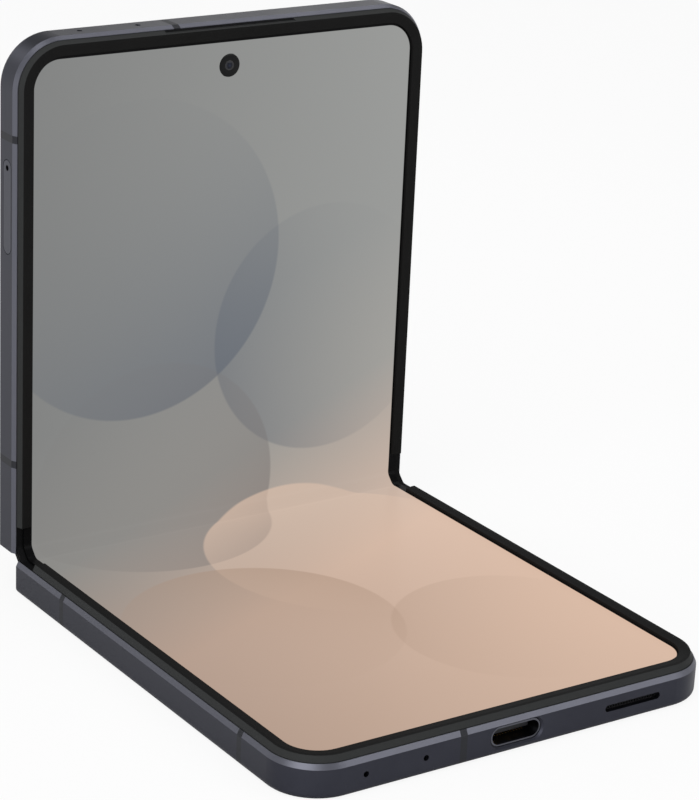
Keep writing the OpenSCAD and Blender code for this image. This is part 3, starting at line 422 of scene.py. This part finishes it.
def greased(place):
    """Hard steel under a thin smear of grease, which gathers in patches of a millimetre."""
    smear = noise(place, 0.0011, 3.0)
    wear = noise(stretched(place, (1.0, 20.0, 20.0)), 0.003)
    return {"Base Color": mixed(wear, tone(150, 144, 128), tone(196, 190, 172)),
            "Metallic": 1.0,
            "Roughness": 0.22 + 0.2 * smear,
            "Normal": relief(wear + smear, 0.00001, 0.4)}


dress(finish("greased_steel", greased), "lower_pinions", "lower_idlers", "upper_idlers",
      "upper_pinions", "friction_springs")


# ---- Spine cover and end caps ----
# The spine is a drawn and anodised trough that hides the hinge from behind. Black polymer caps
# close its ends beside the folding display.

spine_metal = finish("spine_metal", anodised(tone(58, 59, 67), tone(70, 71, 80), 0.33))
dress(spine_metal, "spine_cover")
cap_black = finish("cap_black", moulded(tone(7, 7, 8), tone(12, 12, 13), 0.55, shine=0.08))
dress(cap_black, "hinge_end_caps")


# ---- Cable across the fold ----
# A polyimide film with copper tracks joins the boards of the two halves. It lies under the
# middle plates, and bends where it passes the hinge axes.

axis_lower = np.array([0, 0.040625, 0.0058])
axis_upper = np.array([0, 0.04210992, 0.00728492])
middle_run = 0.00105
bend_run = 0.0021
bend_radius = 0.002535
blend_reach = 0.0012
half_turn = math.pi / 4
strip_steps = 33
rest_rounds = 80


def rest_shape(run, depth):
    """How far out along its half, and how high above the half's display, a point of a strip lies
    at rest. run is its distance from the fold's middle along the open phone, and depth its
    distance below the display's surface. The place is the mean of two. The first lies on a
    circle that touches both halves, or on the half beyond it. The second is the flat strip's
    place, turned about the hinge axis by the share of 45 degrees that the blend gives it, and so
    opens out flat. The share runs from 0 to 1 between far and middle, smoothed as three times
    its square less twice its cube. It depends on the place that it gives, so each round goes
    half of the way from the last place to the new one."""
    arc = half_turn * np.clip(1 - run / bend_run, 0, 1)
    circle_out = middle_run - (bend_radius + depth) * np.sin(arc) + np.maximum(run - bend_run, 0)
    circle_up = bend_radius - (bend_radius + depth) * np.cos(arc)
    flat_out, flat_up = run - middle_run, -depth
    far = np.array([blend_reach, 0])
    middle = np.array([-1, 1]) * middle_run * math.cos(half_turn)
    way = (middle - far) / ((middle - far) @ (middle - far))
    out, up = flat_out, flat_up
    for _ in range(rest_rounds):
        share = np.clip((out - far[0]) * way[0] + (up - far[1]) * way[1], 0, 1)
        turn = half_turn * share * share * (3 - 2 * share)
        out = (out + flat_out * np.cos(turn) + flat_up * np.sin(turn)) / 2
        up = (up - flat_out * np.sin(turn) + flat_up * np.cos(turn)) / 2
    return (out + circle_out) / 2, (up + circle_up) / 2


def fold_strip(name, upper, far_run, top, thick, x_low, x_high, columns, material):
    """A strip of even thickness that crosses one hinge axis. Its section is a loop along the
    upper side and back along the lower one, carried from x_low to x_high. The loop's points
    stand closer towards the middle, as the power 1.5 of an even run. Its map, screen, holds each
    corner's place on the open phone in metres. Its shape curves from its half's flat plane to the
    fold's middle."""
    steps = far_run * np.linspace(0, 1, strip_steps) ** 1.5
    run = np.concatenate([steps, steps[::-1]])[:, None]
    depth = top + np.repeat([0.0, thick], strip_steps)[:, None]
    across = np.linspace(x_low, x_high, columns)
    out, up = rest_shape(run, depth)
    run, across, out, up = np.broadcast_arrays(run, across, out, up)
    if upper:
        points = np.stack([across, axis_upper[1] - up, axis_upper[2] + out], -1)
    else:
        points = np.stack([across, axis_lower[1] - out, axis_lower[2] + up], -1)
    order = slice(None) if upper else slice(None, None, -1)
    piece = skin(name, points[order], None, material, 0.9)
    layer = piece.data.uv_layers.new(name="screen")
    corner = np.zeros(len(piece.data.loops), np.int32)
    piece.data.loops.foreach_get("vertex_index", corner)
    along = (run if upper else -run)[order]
    flat = np.stack([across[order].ravel()[corner], along.ravel()[corner]], -1)
    layer.data.foreach_set("uv", flat.ravel().astype(np.float32))
    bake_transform(piece)
    return piece


track_pitch = 0.0005
cable_half_width = 0.006
cable_reach = 0.0100
cable_depth = 0.00125
cable_thick = 0.0001


def film_look(place):
    """Amber film over copper: a row of tracks shows through it."""
    tracks = held(0.5 + 2.0 * wave(part_of(place, "X"), track_pitch))
    gloss = noise(place, 0.0008)
    return {"Base Color": mixed(tracks, tone(150, 96, 34), tone(196, 122, 58)),
            "Roughness": 0.28 + 0.15 * gloss,
            "Normal": relief(tracks, 0.00002, 0.5)}


flex_film = finish("flex_film", film_look)
for upper in (False, True):
    cable = fold_strip("fold_cable_upper" if upper else "fold_cable_lower", upper, cable_reach,
                       cable_depth, cable_thick, -cable_half_width, cable_half_width, 13,
                       flex_film)
    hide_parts("hinge_flex")


# ---- Middle plates ----
# Thin stainless plates carry the flat parts of the display. They are glued to the frames'
# ledges and end short of the fold, where the display bends.

plate_steel = finish("plate_steel",
                     rolled(tone(128, 130, 134), tone(166, 168, 172), 0.34, (12.0, 1.0, 12.0)))
dress(plate_steel, "lower_display_plate", "upper_display_plate")


# ---- Folding display ----
# One bending panel under a scratch-resistant film. Its picture is a plain gradient from grey
# to peach with large soft discs over it, and a black border runs round it and across the fold.

# The lower half reaches this far from the origin, to its front end and to the fold's middle.
lower_reach = 0.041675
upper_foot = 0.00623492
panel_half_width = 0.0359
panel_start = 0.00295
panel_thick = 0.00045
picture_half_width = 0.03452
picture_half_length = 0.08005
picture_corner = 0.0044
picture_blur = 0.00006
disc_blur = 0.00035
lean_start = 0.034
lean_slope = 0.45
lean_length = 0.100
shade_level = 0.55
shade_width = 0.09
shade_share = 0.42
border_black = tone(9, 9, 10)
grey_top = tone(157, 158, 156)
grey_middle = tone(168, 166, 161)
peach_low = tone(221, 191, 171)
peach_corner = tone(222, 190, 168)
slate = tone(92, 100, 112)
dusk = tone(118, 113, 112)
pale_peach = tone(228, 198, 176)
clay = tone(166, 138, 118)
shade = tone(60, 62, 66)
unlit = (0.0, 0.0, 0.0, 1.0)
# Each disc has the place of its centre across and along the phone, its radius, the direction in
# which it grows denser, its colour, and its least and most share.
discs = [(-0.016, 0.046, 0.0265, (0.5, -0.87), slate, 0.02, 0.62),
         (0.020, 0.030, 0.0215, (-0.9, -0.43), slate, 0.02, 0.48),
         (-0.012, 0.006, 0.0225, (0.8, -0.6), dusk, 0.06, 0.66),
         (0.013, -0.022, 0.0250, (-0.35, 0.94), pale_peach, 0.0, 0.55),
         (-0.016, -0.040, 0.0220, (0.6, 0.8), clay, 0.02, 0.5),
         (0.018, -0.058, 0.0190, (-0.7, 0.71), clay, 0.0, 0.26)]


def picture(across, along):
    """The display's light. A gradient runs along the phone and leans to the right, and the left
    side is shaded. Then each disc is laid over it, denser towards one side. Then the border cuts
    it off at a rectangle with round corners, whose distance is the length of the overshoot past
    the corner's centre."""
    lean = held((lean_start - along + across * lean_slope) / lean_length)
    stops = [(0.0, grey_top), (0.26, grey_middle), (0.64, peach_low), (1.0, peach_corner)]
    colour = lean.make("ValToRGB", {"stops": stops}, {"Fac": lean})
    side = held(shade_level - across / shade_width)
    colour = mixed(side * shade_share, colour, shade)
    for x, y, radius, (dx, dy), tint, least, most in discs:
        right, forth = across - x, along - y
        distance = (right * right + forth * forth) ** 0.5
        inside = held((radius - distance) / disc_blur)
        dense = held(0.5 + (right * dx + forth * dy) / (2 * radius))
        colour = mixed(inside * (least + (most - least) * dense * dense), colour, tint)
    over_x = at_least(abs(across) - (picture_half_width - picture_corner), 0.0)
    over_y = at_least(abs(along) - (picture_half_length - picture_corner), 0.0)
    past = (over_x * over_x + over_y * over_y) ** 0.5
    lit = held((picture_corner - past) / picture_blur + 0.5)
    return mixed(lit, unlit, colour)


def panel_look(across, along, place):
    """Film over the picture: black below, lit from within, with a faint ripple in its gloss."""
    ripple = noise(place, 0.009)
    return {"Base Color": mixed(ripple, border_black, tone(13, 13, 14)),
            "Roughness": 0.3 + 0.04 * ripple,
            "Specular IOR Level": 0.05,
            "Emission Color": picture(across, along),
            "Emission Strength": 1.0}


def lower_panel(place):
    """The lower half's panel, where the fold's middle lies lower_reach along Y."""
    return panel_look(part_of(place, "X"), part_of(place, "Y") - lower_reach, place)


def upper_panel(place):
    """The upper half's panel, where the fold's middle lies upper_foot along Z."""
    return panel_look(part_of(place, "X"), part_of(place, "Z") - upper_foot, place)


def fold_panel(place):
    """The panel across the fold, whose map holds the place on the open phone in metres."""
    spread = place.make("UVMap", {"uv_map": "screen"}, {})
    return panel_look(part_of(spread, "X"), part_of(spread, "Y"), spread)


dress(finish("panel_lower", lower_panel), "lower_display")
dress(finish("panel_upper", upper_panel), "upper_display")
panel_fold = finish("panel_fold", fold_panel)
for upper in (False, True):
    strip = fold_strip("folding_panel_upper" if upper else "folding_panel_lower", upper,
                       panel_start, 0.0, panel_thick, -panel_half_width, panel_half_width, 9,
                       panel_fold)
    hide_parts("display_fold_upper" if upper else "display_fold_lower")


# ---- Fold seals ----
# Soft black strips close the slit between the folding display and the end caps. They lie on
# the frames' lips and bend with the display's edge.

rubber = finish("seal_rubber",
                moulded(tone(8, 8, 9), tone(13, 13, 14), 0.6, 0.0003, 0.00003, 0.08))
seal_inner = 0.03595
seal_outer = 0.0370
seal_reach = 0.00464
seal_drop = 0.0003
seal_thick = 0.0002
for upper in (False, True):
    for side in (-1, 1):
        low, high = sorted((side * seal_inner, side * seal_outer))
        name = f"seal_{'upper' if upper else 'lower'}_{'left' if side < 0 else 'right'}"
        seal = fold_strip(name, upper, seal_reach, seal_drop, seal_thick, low, high, 3,
                          rubber)
        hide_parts("fold_seal_upper" if upper else "fold_seal_lower")


# ---- Raised bezels ----
# A U of moulded black polymer is glued round the display of each half. It stands proud of the
# panel, and so guards it when the phone is shut.

bezel_ridge = 0.00102
ridge_blur = 0.00004
half_width = 0.0376
end_corner = 0.008
upper_top = 0.089585


def ridged_with_painted_light(along_of, far_end):
    """The bezel's polymer, painted paler outside its ridge than inside it: painted light on its
    outer slope. How far a point lies inside the phone's outline is the corner's radius less the
    length of the overshoot past the corner's centre. along_of gives its coordinate towards the far
    end."""
    def look(place):
        over_x = at_least(abs(part_of(place, "X")) - (half_width - end_corner), 0.0)
        over_y = at_least(along_of(place) - (far_end - end_corner), 0.0)
        inset = end_corner - (over_x * over_x + over_y * over_y) ** 0.5
        outside = held((bezel_ridge - inset) / ridge_blur)
        values = moulded(tone(23, 23, 23), tone(28, 28, 28), 0.5, 0.0001, 0.00001, 0.03)(place)
        # The paler colour outside the ridge is painted light on the bezel's outer slope.
        values["Base Color"] = mixed(outside, values["Base Color"], tone(51, 52, 52))
        return values
    return look


dress(finish("bezel_black_lower", ridged_with_painted_light(lambda place: -1 * part_of(place, "Y"), lower_reach)),
      "lower_bezel")
dress(finish("bezel_black_upper", ridged_with_painted_light(lambda place: part_of(place, "Z"), upper_top)),
      "upper_bezel")


# ---- Front camera's window ----
# A round glass sits in the display's hole: a black ring printed round it, and a small dark
# lens behind it, on which a blue glint is painted.

hole_z = 0.0824849
window_radius = 0.00186
window_face = 0.04213
# The window's section, from the middle of its rear to the middle of its face: radius and depth.
window_section = [(0.00002, 0.00042), (window_radius, 0.00042), (window_radius, 0.00004),
                  (0.00176, 0.0), (0.00085, 0.0), (0.00078, 0.00006), (0.00070, 0.00007),
                  (0.0006, 0.00002), (0.0004, -0.00003), (0.0002, -0.00005), (0.00002, -0.00005)]


def turned(section, centre, steps=48):
    """A section of radius and depth turned about a line along Y through the centre."""
    turn = np.linspace(0, 2 * np.pi, steps, endpoint=False)
    radius, depth = np.array(section).T
    x = centre[0] + np.cos(turn)[:, None] * radius
    z = centre[2] + np.sin(turn)[:, None] * radius
    y = centre[1] + depth + np.zeros((steps, 1))
    return np.stack([x, y, z], -1)


def window_look(place):
    """Rings about the hole's axis: printed black outside, and inside a lens whose coated
    purple-blue is painted on as a glint.
    """
    right, up = part_of(place, "X"), part_of(place, "Z") - hole_z
    distance = (right * right + up * up) ** 0.5 / window_radius
    # The blue at the middle is a painted glint on the lens.
    stops = [(0.0, tone(36, 42, 60)), (0.22, tone(14, 16, 26)), (0.36, tone(52, 54, 60)),
             (0.42, tone(10, 10, 12)), (1.0, tone(6, 6, 7))]
    return {"Base Color": distance.make("ValToRGB", {"stops": stops}, {"Fac": distance}),
            "Roughness": 0.1 + 0.06 * distance,
            "Specular IOR Level": 0.15}


skin("front_camera_window", turned(window_section, (0, window_face, hole_z)),
     "upper_half", finish("window_glass", window_look), 0.5)


# ---- Rear glass ----
# Both halves have glass backs, glued into the frames. The lower one is frosted slate, and the
# upper one is clear over black, with the cover screen and the camera rings behind and in it.

def frosted(place):
    """Etched glass over a dye: very fine relief that spreads the shine, with a silky mottle."""
    etch = noise(place, 0.00006)
    silk = noise(place, 0.012, 3.0)
    return {"Base Color": mixed(silk, tone(64, 69, 80), tone(74, 79, 91)),
            "Roughness": 0.38 + 0.08 * etch,
            "Normal": relief(etch, 0.000004, 0.4),
            "Coat Weight": 0.15}


def clear_black(place):
    """Polished glass over black print: a mirror with the faintest of smears."""
    smear = noise(place, 0.014, 4.0)
    return {"Base Color": mixed(smear, tone(10, 10, 12), tone(15, 15, 18)),
            "Roughness": 0.04 + 0.06 * smear,
            "Coat Weight": 0.3}


dress(finish("frosted_glass", frosted), "lower_rear_cover")
dress(finish("clear_black_glass", clear_black), "upper_rear_cover", "cover_screen")


# ---- Rear cameras ----
# Each camera looks through a flat sapphire in a turned aluminium ring. Under the sapphire lie a
# ribbed baffle and the coated front lens.

ring_metal = finish("ring_metal", anodised(tone(70, 71, 80), tone(92, 93, 102), 0.26))
dress(ring_metal, "camera_rings")
lens_low, lens_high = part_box("camera_lenses")
lens_middle_x, lens_middle_z = ((lens_low[k] + lens_high[k]) / 2 for k in (0, 2))
lens_radius = (lens_high[2] - lens_low[2]) / 2
lens_offset = (lens_high[0] - lens_low[0]) / 2 - lens_radius


def lens_look(place):
    """Rings about each camera's axis, which the mirrored distance to the pair's middle gives:
    black baffle with bright ribs, and inside it a lens with a violet and green coating."""
    right = abs(part_of(place, "X") - lens_middle_x) - lens_offset
    up = part_of(place, "Z") - lens_middle_z
    distance = (right * right + up * up) ** 0.5 / lens_radius
    stops = [(0.0, tone(10, 14, 22)), (0.16, tone(40, 34, 62)), (0.3, tone(24, 46, 52)),
             (0.38, tone(6, 6, 8)), (0.44, tone(58, 58, 62)), (0.46, tone(12, 12, 13)),
             (0.62, tone(26, 26, 28)), (0.64, tone(9, 9, 10)), (0.9, tone(12, 12, 13)),
             (1.0, tone(40, 40, 44))]
    return {"Base Color": distance.make("ValToRGB", {"stops": stops}, {"Fac": distance}),
            "Roughness": 0.05 + 0.03 * noise(place, 0.002),
            "Coat Weight": 0.5}


dress(finish("lens_glass", lens_look), "camera_lenses")


# ---- Flash lamp ----
# A pressed Fresnel lens over two light-emitting chips, the colour of pale straw. It looks out
# of the rear glass beside the cameras.

flash_x = 0.0179
flash_z = 0.0820849
ring_pitch = 0.00025
chip_half = 0.0005
chip_offset = 0.00055
chip_blur = 0.000125


def lamp_look(place):
    """Rings stand in the lens, over two yellow squares side by side."""
    right, up = part_of(place, "X") - flash_x, part_of(place, "Z") - flash_z
    distance = (right * right + up * up) ** 0.5
    rings = wave(distance, ring_pitch)
    across = held((chip_half - abs(abs(right) - chip_offset)) / chip_blur)
    chips = across * held((chip_half - abs(up)) / chip_blur)
    return {"Base Color": mixed(chips, tone(232, 226, 206), tone(236, 206, 96)),
            "Roughness": 0.22 + 0.04 * rings,
            "Normal": relief(rings, 0.00004, 0.6)}


dress(finish("lamp_lens", lamp_look), "flash_lamp")


# ---- Side keys and card tray ----
# Keys and tray are milled from the frame's alloy and anodised with it, so they match it. The
# card is printed white polymer with its gilt contacts underneath.

key_metal = finish("key_metal", anodised(tone(60, 61, 69), tone(74, 75, 84), 0.3))
dress(key_metal, "power_key", "volume_rocker", "sim_tray")
dress(finish("card_white", moulded(tone(206, 206, 208), tone(226, 226, 228), 0.5)), "sim_card")


# ---- Studio ----
# The phone stands on a white floor whose rim sweeps up all round, in a dim room. Large soft
# lamps hang above it, at its left, front and right, and behind its left side. A small one lights
# the top edge of the upper half.

floor_radius = 2.6
rim_radius = 1.2
floor_steps = 64
rim_rows = 17
glow_share = 0.88
glow_start = 0.09
glow_blur = 0.1
floor_material = bpy.data.materials.new("floor_white")
floor_material.use_nodes = True
floor_material.node_tree.nodes.clear()
start = Wire(floor_material.node_tree)
mirrored = (start.make("LightPath", {}, {}, "Is Glossy Ray")
            + start.make("LightPath", {}, {}, "Is Transmission Ray"))
spot = start.make("TexCoord", {}, {}, "Object")
from_phone = (part_of(spot, "X") ** 2.0 + part_of(spot, "Y") ** 2.0) ** 0.5
away = held((from_phone - glow_start) / glow_blur)
seen = held(start.make("LightPath", {}, {}, "Is Camera Ray") * glow_share
            + mirrored * away * glow_share)
plain = start.make("BsdfDiffuse", {}, {"Color": (0.86, 0.86, 0.86, 1.0)})
glow = start.make("Emission", {}, {"Color": (1.0, 1.0, 1.0, 1.0), "Strength": 1.0})
floor_shader = start.make("MixShader", {}, {0: seen, 1: plain, 2: glow})
start.make("OutputMaterial", {}, {"Surface": floor_shader})
turn = np.linspace(0, 2 * np.pi, floor_steps, endpoint=False)[:, None]
rise = np.linspace(0, np.pi / 2, rim_rows)
radius = floor_radius + rim_radius * np.sin(rise)
height = rim_radius - rim_radius * np.cos(rise)
rim = np.stack([radius * np.cos(turn), radius * np.sin(turn), height + 0 * turn], -1)
i, j = np.meshgrid(np.arange(floor_steps), np.arange(rim_rows - 1), indexing="ij")
this, following = i * rim_rows + j, (i + 1) % floor_steps * rim_rows + j
cells = np.stack([this, this + 1, following + 1, following], -1).reshape(-1, 4).tolist()
cells.append((np.arange(floor_steps) * rim_rows).tolist())
floor_mesh = bpy.data.meshes.new("floor")
floor_mesh.from_pydata(rim.reshape(-1, 3).tolist(), [], cells)
floor_mesh.shade_smooth()
floor_mesh.materials.append(floor_material)
floor = bpy.data.objects.new("floor", floor_mesh)
bpy.context.scene.collection.objects.link(floor)

world = bpy.data.worlds.new("room")
bpy.context.scene.world = world
world.use_nodes = True
world.node_tree.nodes.clear()
start = Wire(world.node_tree)
dim = start.make("Background", {}, {"Color": (0.24, 0.24, 0.245, 1.0), "Strength": 1.0})
start.make("OutputWorld", {}, {"Surface": dim})


def soft_lamp(name, place, aim, size, energy):
    """A square lamp of that size in metres and energy in watts, which faces the point aim."""
    lamp = bpy.data.lights.new(name, "AREA")
    lamp.shape = "SQUARE"
    lamp.size = size
    lamp.energy = energy
    stand = bpy.data.objects.new(name, lamp)
    stand.location = place
    stand.rotation_euler = (Vector(aim) - Vector(place)).to_track_quat("-Z", "Y").to_euler()
    bpy.context.scene.collection.objects.link(stand)


middle = (0, 0.01, 0.04)
soft_lamp("lamp_above", (-0.25, -0.2, 1.2), middle, 0.9, 5.5)
soft_lamp("lamp_left", (-0.93, -0.62, 0.6), middle, 1.1, 9.0)
soft_lamp("lamp_front", (0.6, -0.88, 0.48), middle, 0.6, 2.0)
soft_lamp("lamp_right", (0.62, 0.2, 1.05), middle, 0.6, 2.0)
soft_lamp("lamp_edge", (0.165, 0.235, 0.18), (0, 0.045, 0.09), 0.14, 0.022)
soft_lamp("lamp_corner", (-0.38, 0.83, 0.62), middle, 0.4, 1.2)

# The camera that fits the photo: its centre and lens in pixels, its place and axes in the frame.
image_width, image_height = 699, 800
centre_x, centre_y = 329.15, 399.14
lens_pixels = 2826.924
eye = Vector((-0.22947276, -0.32856064, 0.18476873))
sideways = Vector((0.83540365, -0.54812975, 0.04067593))
forward = Vector((0.52747471, 0.7787176, -0.33966061))
upward = sideways.cross(forward)
camera = bpy.data.cameras.new("camera")
camera.sensor_width = 36.0
camera.lens = lens_pixels * camera.sensor_width / image_height
camera.shift_x = (image_width / 2 - centre_x) / image_height
camera.shift_y = (centre_y - image_height / 2) / image_height
camera.clip_start = 0.01
stand = bpy.data.objects.new("camera", camera)
axes = Matrix((sideways, upward, -forward)).transposed()
stand.matrix_world = Matrix.Translation(eye) @ axes.to_4x4()
bpy.context.scene.collection.objects.link(stand)
bpy.context.scene.camera = stand
bpy.context.scene.view_settings.view_transform = "Standard"
